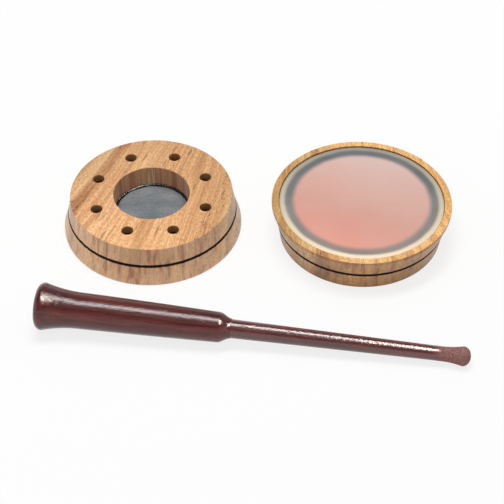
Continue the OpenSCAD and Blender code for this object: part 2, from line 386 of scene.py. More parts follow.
# %% [markdown]
# ## Pores
#
# The pores between the fibres give the short dark dashes by which an open-grained wood is known.
# Real pores are 0.2 mm wide, less than half a pixel here, so they are drawn at 0.5 mm.
#
# A Voronoi texture squeezed across the grain gives long cells. A dark core in some of them is
# a pore, and the random colour of the cell decides how wide that core is. Longer cells give
# flecks, where several pores lie in a row.

# %% Pores and flecks
CROWDING = [            # how many pores each band has
    (0.035, "#484848"), (0.065, "#E0E0E0"), (0.15, "#E8E8E8"), (0.19, "#848484"), (0.35, "#646464"),
    (0.65, "#747474"), (0.80, "#A8A8A8"), (0.825, "#FFFFFF"), (0.875, "#FFFFFF"), (0.90, "#303030"),
]


def long_cells(tree, point, lengths):
    """Cells of about these lengths in millimetres, each with its core and its random colour."""
    fit = [1 / length for length in lengths]
    small = add(tree, "ShaderNodeVectorMath", {0: point, 1: fit}, operation="MULTIPLY")
    return add(tree, "ShaderNodeTexVoronoi", {"Vector": small, "Scale": 1.0})


def pore_depth(tree, bent, spread):
    """How deep the pores are: 0 between them, and more the more of them the band has."""
    crowd = add(tree, "ShaderNodeValToRGB", {0: spread}, stops=CROWDING)
    patch = blotches(tree, bent, (16, 3, 16), 1.0)
    patch = add(tree, "ShaderNodeMapRange", {0: patch, 1: 0.35, 2: 0.6, 3: 0.4, 4: 1.0})
    crowd = add(tree, "ShaderNodeMath", {0: crowd, 1: patch}, operation="MULTIPLY")
    cell = long_cells(tree, bent, (2.9, 0.9, 1.5))
    chance = add(tree, "ShaderNodeSeparateColor", {0: cell.outputs["Color"]})
    width = add(tree, "ShaderNodeMath", {0: chance, 1: crowd}, operation="MULTIPLY")
    width = add(tree, "ShaderNodeMapRange", {0: width, 1: 0.0, 2: 1.0, 3: 0.10, 4: 0.68})
    gap = add(tree, "ShaderNodeMath", {0: cell.outputs["Distance"], 1: width}, operation="SUBTRACT")
    pore = add(tree, "ShaderNodeMapRange", {0: gap, 1: -0.22, 2: 0.0, 3: 1.0, 4: 0.0})
    darkest = add(tree, "ShaderNodeMapRange", {0: crowd, 1: 0.1, 2: 1.0, 3: 0.4, 4: 0.95})
    depth = add(tree, "ShaderNodeMath", {0: pore, 1: darkest}, operation="MULTIPLY")

    # Here and there several pores lie in a row and make one long fleck
    cell = long_cells(tree, bent, (13.0, 1.9, 8.0))
    chance = add(tree, "ShaderNodeSeparateColor", {0: cell.outputs["Color"]})
    width = add(tree, "ShaderNodeMapRange", {0: chance, 1: 0.60, 2: 1.0, 3: 0.0, 4: 0.42})
    gap = add(tree, "ShaderNodeMath", {0: cell.outputs["Distance"], 1: width}, operation="SUBTRACT")
    fleck = add(tree, "ShaderNodeMapRange", {0: gap, 1: -0.16, 2: 0.0, 3: 0.55, 4: 0.0})
    return add(tree, "ShaderNodeMath", {0: depth, 1: fleck}, operation="MAXIMUM")


print("pores crowd differently in", len(CROWDING), "places across the blank")

# %% [markdown]
# ## The side of a pot
#
# A saw cut along the fibres is bright, and one through their ends drinks the finish and goes
# duller, so the side of the pot changes tone as it goes round. The shader finds the cut by
# comparing the surface's direction with the grain's. Where the fibres end, rays stand between
# them and stripe the side in pinkish and olive tones. The dull share can also grow in one
# direction, and that is painted shade on the part of the side that gets less light.

# %% Tone of the side
RAYS = [                  # pinkish and pale olive stripes of the end grain
    (0.34, "#CCAC9C"), (0.43, "#F0D6CA"), (0.49, "#FFF8E2"), (0.54, "#F4DCCE"), (0.60, "#FFFCE6"),
    (0.67, "#ECD6CA"),
]


def facing_grain(tree, grain_turn):
    """How far the surface faces along the grain, and how upright it is."""
    normal = add(tree, "ShaderNodeTexCoord").outputs["Normal"]
    turn = (0, 0, math.radians(grain_turn))
    turned = add(tree, "ShaderNodeMapping", {"Vector": normal, "Rotation": turn}, vector_type="TEXTURE")
    parts = add(tree, "ShaderNodeSeparateXYZ", {0: turned})
    along = add(tree, "ShaderNodeMath", {0: parts.outputs[0]}, operation="ABSOLUTE")
    level = add(tree, "ShaderNodeMath", {0: parts.outputs[2]}, operation="ABSOLUTE")
    upright = add(tree, "ShaderNodeMapRange", {0: level, 1: 0.35, 2: 0.75, 3: 1.0, 4: 0.0})
    return along, upright


def sawn_side(tree, wood, point, bent, cut, dull, painted_shade_towards):
    """The wood with its fibre ends dulled and striped, and darker one way as painted shade."""
    along, upright = cut
    end = add(tree, "ShaderNodeMapRange", {0: along, 1: 0.1, 2: 0.9, 3: 0.45, 4: 1.0})
    end = add(tree, "ShaderNodeMath", {0: end, 1: upright}, operation="MULTIPLY")
    # Painted shade: the dull share grows in the direction given
    painted_light_slope = add(tree, "ShaderNodeVectorMath", {0: point, 1: painted_shade_towards}, operation="DOT_PRODUCT")
    share = add(tree, "ShaderNodeMath", {0: painted_light_slope, 1: 0.5}, operation="ADD")
    dulled = add(tree, "ShaderNodeMath", {0: end, 1: share}, operation="MULTIPLY")
    wood = add(tree, "ShaderNodeMix", {0: dulled, 6: wood, 7: linear(dull)}, data_type="RGBA")
    rays = blotches(tree, bent, (4.4, 2.6, 70), 2.5, 0.6)
    rays = add(tree, "ShaderNodeValToRGB", {0: rays}, stops=RAYS)
    return add(tree, "ShaderNodeMix", {0: end, 6: wood, 7: rays}, **MULTIPLIED)


print("the fibre ends have", len(RAYS), "tones of rays")

# %% [markdown]
# ## The burnt line and the inner walls
#
# The dark line isn't painted on the real call. The turner holds a wire in a small groove until
# friction chars the wood. Char is matte and nearly black, with an edge that runs a little into
# the grain.
#
# Inside the port the wood is browner, partly as cut end grain and partly as painted shade of
# the deep port, with thin pale lines that run straight down the wall. The wood inside the small
# holes is more olive and painted darker, as shade falls in them.

# %% Burnt line and inner walls
CALL_H = 22.2
LINE_HEIGHT = 10.8        # from the back face to the burnt line
LINE_RAGGED = 0.7         # how far the char runs into the grain
LINE_SOFT = 0.18
OUTSIDE_R = 43.4          # beyond this radius lies the outer side
PORT_WOOD_R = 24.0        # up to here the inner walls belong to the port
HOLE_WOOD_R = 27.0        # and from here on to the small holes
# The inner walls' tone is partly cut end grain and partly painted shade of port and holes.
WALL_SHARE = 0.72         # how much of the inner walls' own tone covers the grain
HOLE_WOOD_SHADED = "#A87A4C"
PORT_WALL_TONES_AND_SHADE = [                # dark red-brown with thin pale lines
    (0.34, "#96583A"), (0.42, "#BE7A54"), (0.462, "#C88658"), (0.475, "#FFE8CC"), (0.488, "#BE7C54"),
    (0.53, "#DCA670"), (0.552, "#B87450"), (0.567, "#FFEED6"), (0.582, "#AE6A4A"), (0.66, "#E8B682"),
]


def burnt_ring(tree, point, radius, half_width):
    """1 in the burnt line, which runs round the outer side of the pot."""
    height = add(tree, "ShaderNodeSeparateXYZ", {0: point}).outputs[2]
    off = add(tree, "ShaderNodeMath", {0: height, 1: LINE_HEIGHT}, operation="SUBTRACT")
    off = add(tree, "ShaderNodeMath", {0: off}, operation="ABSOLUTE")
    ragged = blotches(tree, point, (1.6, 1.6, 1.6), 2.0, 0.6)
    off = add(tree, "ShaderNodeMath", {0: ragged, 1: LINE_RAGGED, 2: off}, operation="MULTIPLY_ADD")
    edge = half_width + LINE_RAGGED / 2
    fade = {0: off, 1: edge - LINE_SOFT, 2: edge + LINE_SOFT, 3: 1.0, 4: 0.0}
    black = add(tree, "ShaderNodeMapRange", fade)
    outer = add(tree, "ShaderNodeMath", {0: radius, 1: OUTSIDE_R}, operation="GREATER_THAN")
    return add(tree, "ShaderNodeMath", {0: black, 1: outer}, operation="MULTIPLY")


def inner_walls(tree, wood, point, radius, upright):
    """The wood browner in the port and darker, more olive in the holes: end grain and painted shade."""
    staves = blotches(tree, point, (5.4, 5.4, 500), 1.5, 0.6)
    staves = add(tree, "ShaderNodeValToRGB", {0: staves}, stops=PORT_WALL_TONES_AND_SHADE)
    in_hole = {0: radius, 1: PORT_WOOD_R, 2: HOLE_WOOD_R, 3: 0.0, 4: 1.0}
    in_hole = add(tree, "ShaderNodeMapRange", in_hole)
    wall = {0: in_hole, 6: staves, 7: linear(HOLE_WOOD_SHADED)}
    wall = add(tree, "ShaderNodeMix", wall, data_type="RGBA")
    inner = {0: radius, 1: OUTSIDE_R - 0.2, 2: OUTSIDE_R + 0.2, 3: WALL_SHARE, 4: 0.0}
    inner = add(tree, "ShaderNodeMapRange", inner)
    inner = add(tree, "ShaderNodeMath", {0: inner, 1: upright}, operation="MULTIPLY")
    return add(tree, "ShaderNodeMix", {0: inner, 6: wood, 7: wall}, data_type="RGBA")


print("the burnt line lies", round(CALL_H - LINE_HEIGHT, 1), "mm from the rim")

# %% [markdown]
# ## One material for each pot
#
# The parts come together here: the grain, painted light that makes each pot brighter on one side
# and darker towards the table, the duller end grain with its rays, the inner walls and the burnt
# line. Over all that lies a thin satin lacquer, which mirrors the room at a flat angle and makes
# the outline of each pot paler. It sinks into the pores, so these stay rough, and the char stays
# bare.
#
# The two pots were cut from different boards, so each gets its own direction of grain and its
# own stretch of bands. Each also gets its own painted light and its own side.

# %% Wood of the two pots
PORE = "#7A4E31"
CHAR = "#20120A"


def satin_lacquer(tree, wood, streak, depth, burnt):
    """Closes a tree with thin lacquer over wood: streaks raised, pores sunk, char bare."""
    relief = add(tree, "ShaderNodeMath", {0: streak, 1: 0.35}, operation="MULTIPLY")
    relief = add(tree, "ShaderNodeMath", {0: relief, 1: depth}, operation="SUBTRACT")
    bump = add(tree, "ShaderNodeBump", {"Height": relief, "Strength": 0.4, "Distance": 0.12 * MM})
    matte = add(tree, "ShaderNodeMapRange", {0: depth, 1: 0.0, 2: 1.0, 3: 0.44, 4: 0.7})
    matte = add(tree, "ShaderNodeMath", {0: matte, 1: burnt}, operation="MAXIMUM")
    lacquer = add(tree, "ShaderNodeMapRange", {0: burnt, 1: 0.0, 2: 1.0, 3: 0.2, 4: 0.0})
    surface = add(tree, "ShaderNodeBsdfPrincipled",
                  {"Base Color": wood, "Roughness": matte, "IOR": 1.5, "Coat Weight": lacquer,
                   "Coat Roughness": 0.26, "Normal": bump})
    add(tree, "ShaderNodeOutputMaterial", {"Surface": surface})


def turned_hardwood(name, call, grain_turn, shift, fade, tint, dull, painted_shade_towards, burn):
    """The wood of one pot: its grain, painted light (fade), its tint, its sides, its burnt line."""
    material, tree = new_material(name)
    point = on_call(tree, call, grain_turn)
    bent, across = grain_space(tree, point, shift)
    wood, streak, spread = grain_tone(tree, bent, across)
    depth = pore_depth(tree, bent, spread)
    wood = add(tree, "ShaderNodeMix", {0: depth, 6: wood, 7: linear(PORE)}, data_type="RGBA")
    # Painted light and shade: the wood is made brighter towards one side and darker towards another, and
    # then the pot's tint is multiplied in.
    painted_light_slope = add(tree, "ShaderNodeVectorMath", {0: point, 1: fade}, operation="DOT_PRODUCT")
    shade = add(tree, "ShaderNodeMath", {0: painted_light_slope, 1: 1.0}, operation="ADD")
    wood = add(tree, "ShaderNodeMix", {0: 1.0, 6: wood, 7: shade}, **MULTIPLIED)
    wood = add(tree, "ShaderNodeMix", {0: 1.0, 6: wood, 7: linear(tint)}, **MULTIPLIED)

    along, upright = facing_grain(tree, grain_turn)
    wood = sawn_side(tree, wood, point, bent, (along, upright), dull, painted_shade_towards)
    radius = from_axis(tree, point)
    wood = inner_walls(tree, wood, point, radius, upright)
    burnt = burnt_ring(tree, point, radius, burn)
    wood = add(tree, "ShaderNodeMix", {0: burnt, 6: wood, 7: linear(CHAR)}, data_type="RGBA")
    satin_lacquer(tree, wood, streak, depth, burnt)
    return material


def dress(node, material):
    """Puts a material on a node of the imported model."""
    nodes[node].material_slots[0].material = material


# Painted light: the down call is brighter towards the front, the up call towards the right and its rim,
# and both are darker towards the table. The up call's tint is partly the yellower cast of its wood and
# partly a lower base for that painted light.
dress("down_call_pot", turned_hardwood(
    "hardwood_turned_lacquered_down", "down_call", 71, 0.0, fade=(-0.0034, 0.0006, -0.008),
    tint="#FFFDFA", dull="#FAE3C7", painted_shade_towards=(0, 0, 0), burn=0.83))
# On the up call the dark dull tone is partly end grain and partly painted shade, and it grows towards the
# right as painted shade.
dress("up_call_pot", turned_hardwood(
    "hardwood_turned_lacquered_up", "up_call", 97, 9.0, fade=(0.0, -0.003, 0.012),
    tint="#F0F1DC", dull="#98702F", painted_shade_towards=(0, -0.009, 0), burn=1.05))
print("pots dressed")

# %% [markdown]
# ## The playing surface: sandblasted glass over a printed disc
#
# Sandblasting breaks the top of the glass into millions of tiny pits. Light from the printed
# disc 3 mm below spreads before it gets out, so the picture seems to lie on the frost itself,
# as on a projection screen, pale and with soft edges. It doesn't slide when the eye moves.
#
# Glass could be rendered as real refraction, but then all light would have to find its way in
# and out through rough glass, which is noisy and gets lost in an exported model. The frost
# is an opaque screen in effect, so here it is one: the picture's rings are drawn on it with
# edges as wide as the blur, under a milky veil. Light is painted on it too: a milky sheen at
# the back and left, the rim's shadow along the far edge and a bright glint along the near edge.

# %% Frosted glass
# Painted sheen: the disc's tones run from milky at the back and left to clearer orange in front.
DISC_TONES_PAINTED_SHEEN = [            # milky at the back, clearer orange in front
    (0.04, "#DCBCB6"), (0.20, "#DBB3A8"), (0.42, "#D9AA9C"), (0.60, "#D7A092"), (0.78, "#DD9A88"),
    (0.95, "#E99B88"),
]
# Painted light in the rings: the border runs from darker at the back to paler in front, the cream ring is
# greyer at the back as painted shade and brighter in front, and the edge holds the rim's painted shadow
# at the back and a painted glint in front.
BORDER_TONES = [(0.0, "#4E565C"), (0.5, "#787A78"), (1.0, "#90807A")]
GLUE_RING_TONES_AND_PAINTED_LIGHT = [(0.0, "#969184"), (0.5, "#CCC1AA"), (1.0, "#FEEACC")]
EDGE_PAINTED_SHADOW_AND_GLINT = [(0.0, "#7A6448"), (0.45, "#B8A07A"), (0.72, "#ECD8B4"), (1.0, "#FFE8C6")]
RINGS = (                 # the radii in millimetres between which each fades in, and its tones
    (35.4, 39.4, BORDER_TONES), (40.9, 43.2, GLUE_RING_TONES_AND_PAINTED_LIGHT), (43.9, 44.7, EDGE_PAINTED_SHADOW_AND_GLINT),
)
VEIL = "#D8CCC4"


def frosted_glass(call):
    """Sandblasted glass with the rings of the printed disc showing through."""
    material, tree = new_material(call + "_glass_sandblasted")
    point = on_call(tree, call)
    x, y = add(tree, "ShaderNodeSeparateXYZ", {0: point}).outputs[:2]
    waver = blotches(tree, point, (9, 9, 9))
    radius = add(tree, "ShaderNodeMath", {0: waver, 1: from_axis(tree, point)}, operation="ADD")

    # Painted sheen: the frost is milkier towards the back and the left, clearer orange in front
    painted_light_front = add(tree, "ShaderNodeMath", {0: y, 1: -1 / 84, 2: 0.5}, operation="MULTIPLY_ADD")
    painted_sheen_slant = add(tree, "ShaderNodeMath", {0: x, 1: -1 / 230, 2: painted_light_front}, operation="MULTIPLY_ADD")
    frost = add(tree, "ShaderNodeValToRGB", {0: painted_sheen_slant}, stops=DISC_TONES_PAINTED_SHEEN)
    # Each ring's tone follows the painted light from back to front
    for start, end, tones in RINGS:
        ring = add(tree, "ShaderNodeValToRGB", {0: painted_light_front}, stops=tones)
        share = add(tree, "ShaderNodeMapRange", {0: radius, 1: start, 2: end, 3: 0.0, 4: 1.0},
                    interpolation_type="SMOOTHSTEP")
        frost = add(tree, "ShaderNodeMix", {0: share, 6: frost, 7: ring}, data_type="RGBA")

    cloud = blotches(tree, point, (26, 26, 26))
    veil = add(tree, "ShaderNodeMapRange", {0: cloud, 1: 0.35, 2: 0.65, 3: 0.0, 4: 0.12})
    frost = add(tree, "ShaderNodeMix", {0: veil, 6: frost, 7: linear(VEIL)}, data_type="RGBA")
    pits = blotches(tree, point, (0.4, 0.4, 0.4), 3.0)
    bump = add(tree, "ShaderNodeBump", {"Height": pits, "Strength": 0.2, "Distance": 0.05 * MM})
    surface = add(tree, "ShaderNodeBsdfPrincipled",
                  {"Base Color": frost, "Roughness": 0.5, "IOR": 1.5, "Normal": bump})
    add(tree, "ShaderNodeOutputMaterial", {"Surface": surface})
    return material


for call in CALLS:
    dress(call + "_glass", frosted_glass(call))
print("the border of the print begins at", RINGS[0][0], "mm under the frost")

# %% [markdown]
# ## The printed disc and the glue under the glass
#
# The disc is card, printed orange with a dark border. Its rings have crisp edges, because
# nothing has blurred them yet. The glue is a cream rubbery one, laid as a ring.

# %% Printed disc and cream glue
RAMP_R = 50             # radius in millimetres at the end of the ramp
DISC_RINGS = [(0.735, "#D65F34"), (0.745, "#2E3032"), (0.80, "#2E3032"), (0.83, "#26282A")]


def printed_card(call):
    """Matte card with an offset print: orange with a dark border."""
    material, tree = new_material(call + "_card_offset_printed")
    point = on_call(tree, call)
    radius = from_axis(tree, point)
    share = add(tree, "ShaderNodeMath", {0: radius, 1: 1 / RAMP_R}, operation="MULTIPLY")
    rings = add(tree, "ShaderNodeValToRGB", {0: share}, stops=DISC_RINGS)
    fibre = add(tree, "ShaderNodeTexNoise", {"Vector": point, "Scale": 1.4, "Detail": 4.0})
    tint = add(tree, "ShaderNodeMapRange", {0: fibre, 1: 0.3, 2: 0.7, 3: 0.88, 4: 1.0})
    ink = add(tree, "ShaderNodeMix", {0: 1.0, 6: rings, 7: tint}, **MULTIPLIED)
    surface = add(tree, "ShaderNodeBsdfPrincipled", {"Base Color": ink, "Roughness": 0.62})
    add(tree, "ShaderNodeOutputMaterial", {"Surface": surface})
    return material


def cream_glue(call):
    """Cured rubbery glue: cream, soft gloss, a few bubbles."""
    material, tree = new_material(call + "_glue_cream_cured")
    point = on_call(tree, call)
    lumps = add(tree, "ShaderNodeTexNoise", {"Vector": point, "Scale": 0.5, "Detail": 3.0})
    tint = add(tree, "ShaderNodeValToRGB", {0: lumps}, stops=[(0.35, "#D2CAB2"), (0.65, "#E4DDC8")])
    bump = add(tree, "ShaderNodeBump", {"Height": lumps, "Strength": 0.3, "Distance": 0.2 * MM})
    surface = add(tree, "ShaderNodeBsdfPrincipled",
                  {"Base Color": tint, "Roughness": 0.32, "IOR": 1.45, "Normal": bump})
    add(tree, "ShaderNodeOutputMaterial", {"Surface": surface})
    return material


for call in CALLS:
    dress(call + "_print", printed_card(call))
    dress(call + "_glass_glue", cream_glue(call))
print("printed border from", DISC_RINGS[1][0] * RAMP_R, "mm outwards, and cream glue round it")

# %% [markdown]
# ## The soundboard: slate
#
# Slate splits along flat beds and is rubbed smooth. It is a blue-grey stone with a fine speckle
# of mineral grains and faint rubbing marks, and it stays matte. The speckle is drawn at 0.8 mm,
# coarser than the real grain, so that it shows at all.

# %% Slate
STONE = [(0.34, "#70787D"), (0.66, "#888D90")]
MICA = "#B4BABD"


def rubbed_slate(call):
    """Slate, split and rubbed flat."""
    material, tree = new_material(call + "_slate_rubbed")
    point = on_call(tree, call)
    cloud = blotches(tree, point, (14, 10, 10), 3.0, 0.6)
    stone = add(tree, "ShaderNodeValToRGB", {0: cloud}, stops=STONE)
    speck = blotches(tree, point, (0.8, 0.8, 0.8), 3.0, 0.75)
    grains = add(tree, "ShaderNodeMapRange", {0: speck, 1: 0.32, 2: 0.68, 3: 0.82, 4: 1.16})
    stone = add(tree, "ShaderNodeMix", {0: 1.0, 6: stone, 7: grains}, **MULTIPLIED)
    rubbed = blotches(tree, point, (9, 0.7, 0.7), 2.0, 0.6)
    rubbed = add(tree, "ShaderNodeMapRange", {0: rubbed, 1: 0.35, 2: 0.65, 3: 0.93, 4: 1.08})
    stone = add(tree, "ShaderNodeMix", {0: 1.0, 6: stone, 7: rubbed}, **MULTIPLIED)
    # Pale mica flecks: partly the mineral's own colour, partly a painted glint.
    mica_painted_glint = add(tree, "ShaderNodeTexVoronoi", {"Vector": point, "Scale": 0.5})
    mica_painted_glint = add(tree, "ShaderNodeMapRange", {0: mica_painted_glint, 1: 0.08, 2: 0.22, 3: 0.4, 4: 0.0})
    stone = add(tree, "ShaderNodeMix", {0: mica_painted_glint, 6: stone, 7: linear(MICA)}, data_type="RGBA")
    bump = add(tree, "ShaderNodeBump", {"Height": speck, "Strength": 0.35, "Distance": 0.1 * MM})
    surface = add(tree, "ShaderNodeBsdfPrincipled",
                  {"Base Color": stone, "Roughness": 0.55, "IOR": 1.55, "Normal": bump})
    add(tree, "ShaderNodeOutputMaterial", {"Surface": surface})
    return material


for call in CALLS:
    dress(call + "_soundboard", rubbed_slate(call))
print("slate dressed")

# %% [markdown]
# ## A Geometry Nodes tree becomes a plain mesh
#
# The next pieces follow a rule, so Geometry Nodes build them: a modifier that makes the mesh from
# a few named inputs. A modifier knows its inputs by an identifier and not by the name that is
# shown, so `shaped` looks the identifier up. It then keeps the finished mesh and drops the
# modifier, because what leaves Blender has to be plain mesh.

# %% From a node tree to a piece
def declare(tree, inputs):
    """Gives a node tree one geometry output and its named inputs."""
    tree.interface.new_socket("Geometry", in_out="OUTPUT", socket_type="NodeSocketGeometry")
    for name, kind in inputs.items():
        tree.interface.new_socket(name, in_out="INPUT", socket_type="NodeSocket" + kind)


def shaped(name, tree, values, drawing=None):
    """A piece whose mesh a node tree makes from these inputs."""
    piece = bpy.data.objects.new(name, drawing or bpy.data.meshes.new(name))
    bpy.context.scene.collection.objects.link(piece)
    maker = piece.modifiers.new("maker", "NODES")
    maker.node_group = tree
    for item in tree.interface.items_tree:
        if item.in_out == "INPUT" and item.name in values:
            maker[item.identifier] = values[item.name]
    ready = piece.evaluated_get(bpy.context.evaluated_depsgraph_get())
    mesh = bpy.data.meshes.new_from_object(ready)
    piece.modifiers.clear()
    piece.data = mesh
    print(name, len(mesh.polygons), "faces")
    return piece


print("node trees so far:", len(bpy.data.node_groups))

# %% [markdown]
# ## The glue bead under the soundboard
#
# The slate is set in dark glue, and what squeezes out makes a glossy bead in the corner of the
# port. A hand-laid bead is never even, and its changing width is what makes it glint.
#
# A sweep is the natural way to build it: a circle as the path, a small cross-section, and Curve
# to Mesh between them. Each point of the path has a radius that scales the section, so noise on
# that radius makes the bead swell and thin while its back stays in the corner.

# %% Section and swelling of a glue bead
BEAD_HOLLOW = 0.36      # where its hollow front passes, as a share of its size
BEAD_SUNK = 0.02 * MM   # how far its back reaches into the wall
SWELLINGS = 160         # noise cells per metre, one about every 6 mm


def bead_section(tree, size):
    """A corner, and a hollow front that meets both walls."""
    inward = add(tree, "ShaderNodeMath", {0: size, 1: -1.0}, operation="MULTIPLY")
    hollow = add(tree, "ShaderNodeMath", {0: size, 1: BEAD_HOLLOW}, operation="MULTIPLY")
    hollow_in = add(tree, "ShaderNodeMath", {0: size, 1: -BEAD_HOLLOW}, operation="MULTIPLY")
    section = add(tree, "GeometryNodeCurvePrimitiveQuadrilateral", mode="POINTS")
    corner, foot = (BEAD_SUNK, -BEAD_SUNK), (inward, -BEAD_SUNK)
    corners = (corner, foot, (hollow_in, hollow), (BEAD_SUNK, size))
    for number, (x, y) in enumerate(corners, 1):
        spot = add(tree, "ShaderNodeCombineXYZ", {0: x, 1: y})
        tree.links.new(spot.outputs[0], section.inputs["Point " + str(number)])
    return section


def swelling(tree, seed, unevenness):
    """How much the section grows or shrinks along the bead."""
    place = add(tree, "GeometryNodeInputPosition")
    noise = {"Vector": place, "W": seed, "Scale": SWELLINGS, "Detail": 3.0}
    wave = add(tree, "ShaderNodeTexNoise", noise, noise_dimensions="4D")
    wave = add(tree, "ShaderNodeMath", {0: wave, 1: 0.5}, operation="SUBTRACT")
    return add(tree, "ShaderNodeMath", {0: wave, 1: unevenness, 2: 1.0}, operation="MULTIPLY_ADD")


print("the bead swells about every", round(1000 / SWELLINGS), "mm")

# %% [markdown]
# ## The layer behind the bead, and both together
#
# The glue between slate and wood is a flat ring. It is a second sweep along the same circle,
# with a rectangle as the section, which isn't scaled. Both meshes are joined, set in their
# place in the pot and given the glue.

# %% Geometry Nodes tree for a glue bead
BEAD_INPUTS = {
    "Wall radius": "Float", "Bead size": "Float", "Unevenness": "Float", "Layer width": "Float",
    "Layer thickness": "Float", "Place": "Vector", "Turn": "Rotation", "Seed": "Float",
    "Glue": "Material",
}


def layer_section(tree, width, thickness):
    """A flat rectangle with one corner on the path."""
    half_w = add(tree, "ShaderNodeMath", {0: width, 1: 0.5}, operation="MULTIPLY")
    half_t = add(tree, "ShaderNodeMath", {0: thickness, 1: 0.5}, operation="MULTIPLY")
    size = {"Width": width, "Height": thickness}
    strip = add(tree, "GeometryNodeCurvePrimitiveQuadrilateral", size, mode="RECTANGLE")
    shift = add(tree, "ShaderNodeCombineXYZ", {0: half_w, 1: half_t})
    return add(tree, "GeometryNodeTransform", {"Geometry": strip, "Translation": shift})


def glue_bead_tree():
    """A bead of uneven width in the corner between a round wall and a disc, and its layer."""
    tree = bpy.data.node_groups.new("glue_bead_and_layer", "GeometryNodeTree")
    declare(tree, BEAD_INPUTS)
    given = add(tree, "NodeGroupInput").outputs
    circle = {"Resolution": 240, "Radius": given["Wall radius"]}
    circle = add(tree, "GeometryNodeCurvePrimitiveCircle", circle)
    circle = add(tree, "GeometryNodeSetCurveNormal", {"Curve": circle}, mode="Z_UP")
    wave = swelling(tree, given["Seed"], given["Unevenness"])
    section = bead_section(tree, given["Bead size"])
    bead = {"Curve": circle, "Profile Curve": section, "Scale": wave}
    bead = add(tree, "GeometryNodeCurveToMesh", bead)
    strip = layer_section(tree, given["Layer width"], given["Layer thickness"])
    layer = add(tree, "GeometryNodeCurveToMesh", {"Curve": circle, "Profile Curve": strip})

    both = add(tree, "GeometryNodeJoinGeometry")
    tree.links.new(bead.outputs[0], both.inputs[0])
    tree.links.new(layer.outputs[0], both.inputs[0])
    both = add(tree, "GeometryNodeTransform",
               {"Geometry": both, "Translation": given["Place"], "Rotation": given["Turn"]})
    both = add(tree, "GeometryNodeSetShadeSmooth", {"Geometry": both})
    both = add(tree, "GeometryNodeRealizeInstances", {0: both})
    both = add(tree, "GeometryNodeSetMaterial", {"Geometry": both, "Material": given["Glue"]})
    add(tree, "NodeGroupOutput", {0: both})
    return tree


bead_tree = glue_bead_tree()
print(bead_tree.name, len(bead_tree.nodes), "nodes")

# %% [markdown]
# ## Glue for the two beads
#
# The glue is a dark rubbery one. It cured glossy, with small dents that throw back blue-grey
# glints of the room. A low roughness gives the gloss and a coarse bump gives the dents.

# %% The two glue beads
PORT_R = 20.65
SLATE_HEIGHT = 13.0     # from the back face to the slate


def black_glue(call):
    """Cured black glue, glossy and dented."""
    material, tree = new_material(call + "_glue_black_cured")
    point = on_call(tree, call)
    dents = blotches(tree, point, (1.4, 1.4, 1.4), 3.0, 0.6)
    tint = add(tree, "ShaderNodeValToRGB", {0: dents}, stops=[(0.35, "#14110F"), (0.65, "#2A2624")])
    bump = add(tree, "ShaderNodeBump", {"Height": dents, "Strength": 0.9, "Distance": 0.5 * MM})
    surface = add(tree, "ShaderNodeBsdfPrincipled",
                  {"Base Color": tint, "Roughness": 0.14, "IOR": 1.48, "Normal": bump})
    add(tree, "ShaderNodeOutputMaterial", {"Surface": surface})
    return material


for call, (place, sign) in CALLS.items():
    bead = shaped(call + "_glue_bead", bead_tree, {
        "Wall radius": PORT_R * MM, "Bead size": 1.2 * MM, "Unevenness": 1.5, "Layer width": 5.8 * MM,
        "Layer thickness": 0.3 * MM, "Place": place + Vector((0, 0, sign * SLATE_HEIGHT * MM)),
        "Turn": Euler((0 if sign > 0 else math.pi, 0, 0)), "Seed": 3.0 + sign,
        "Glue": black_glue(call)})
    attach(bead, "face_up_call" if sign > 0 else "face_down_call")
    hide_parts(call + "_soundboard_glue")
    gleaming.objects.link(bead)

# %% [markdown]
# ## The striker on the lathe
#
# A striker is turned: a square stick spins and a gouge cuts the same outline all the way round.
# Geometry Nodes can turn it the same way. The outline is drawn once, as half of a lengthwise
# cut, and Curve to Mesh sweeps it along a circle so small that it is a point. What comes out is
# round, and only the outline has to be right.
#
# The outline is a list of places: distance from the axis and distance from the butt, both in
# millimetres. The handle swells a little between its flare and its shoulder.

# %% Outline of the handle
BUTT_R, GRIP_R, SHOULDER_R, NOSE_R, SOCKET_R = 12.3, 9.4, 7.8, 5.17, 4.0
BUTT_DOME, BUTT_ROUND, HANDLE_BELLY = 1.2, 3.6, 0.12
FLARE_END, SOCKET_END, SHOULDER, HANDLE_END = 23.0, 74.8, 94.8, 101.2
BUTT_EDGE = BUTT_DOME + BUTT_ROUND


def steps(count):
    """Shares from just over 0 to 1."""
    return [(i + 1) / count for i in range(count)]


def grip(along):
    """Radius of the handle without its flare."""
    t = (along - FLARE_END) / (SHOULDER - FLARE_END)
    swell = 4 * HANDLE_BELLY * max(t, 0) * (1 - t)
    return GRIP_R + (SHOULDER_R - GRIP_R) * t + swell


def handle_outline():
    """From the middle of the butt over flare and shoulder into the socket."""
    flat = BUTT_R - BUTT_ROUND
    points = [(0.0, 0.0)] + [(flat * t, BUTT_DOME * t * t) for t in steps(12)]
    for t in steps(16):
        angle = math.radians(90 * (t - 1))
        points.append((flat + BUTT_ROUND * math.cos(angle), BUTT_EDGE + BUTT_ROUND * math.sin(angle)))
    for t in steps(36):
        along = BUTT_EDGE + (FLARE_END - BUTT_EDGE) * t
        points.append((grip(along) + (BUTT_R - grip(BUTT_EDGE)) * (1 - t) ** 2, along))
    for t in steps(30):
        along = FLARE_END + (SHOULDER - FLARE_END) * t
        points.append((grip(along), along))
    for t in steps(24):
        ease = t * t * (3 - 2 * t)
        points.append((SHOULDER_R + (NOSE_R - SHOULDER_R) * ease, SHOULDER + (HANDLE_END - SHOULDER) * t))
    return points + [(SOCKET_R, HANDLE_END), (SOCKET_R, SOCKET_END), (0.0, SOCKET_END)]


print("points of the handle's outline:", len(handle_outline()))

# %% [markdown]
# ## The peg
#
# Both pieces are drawn whole, also where the peg's tenon sits in the socket of the handle. The
# shaft thins steadily towards a neck. From there the tip flares, so that it doesn't slip through
# the fingers, and ends in a rounded cap that touches the glass in one small spot.

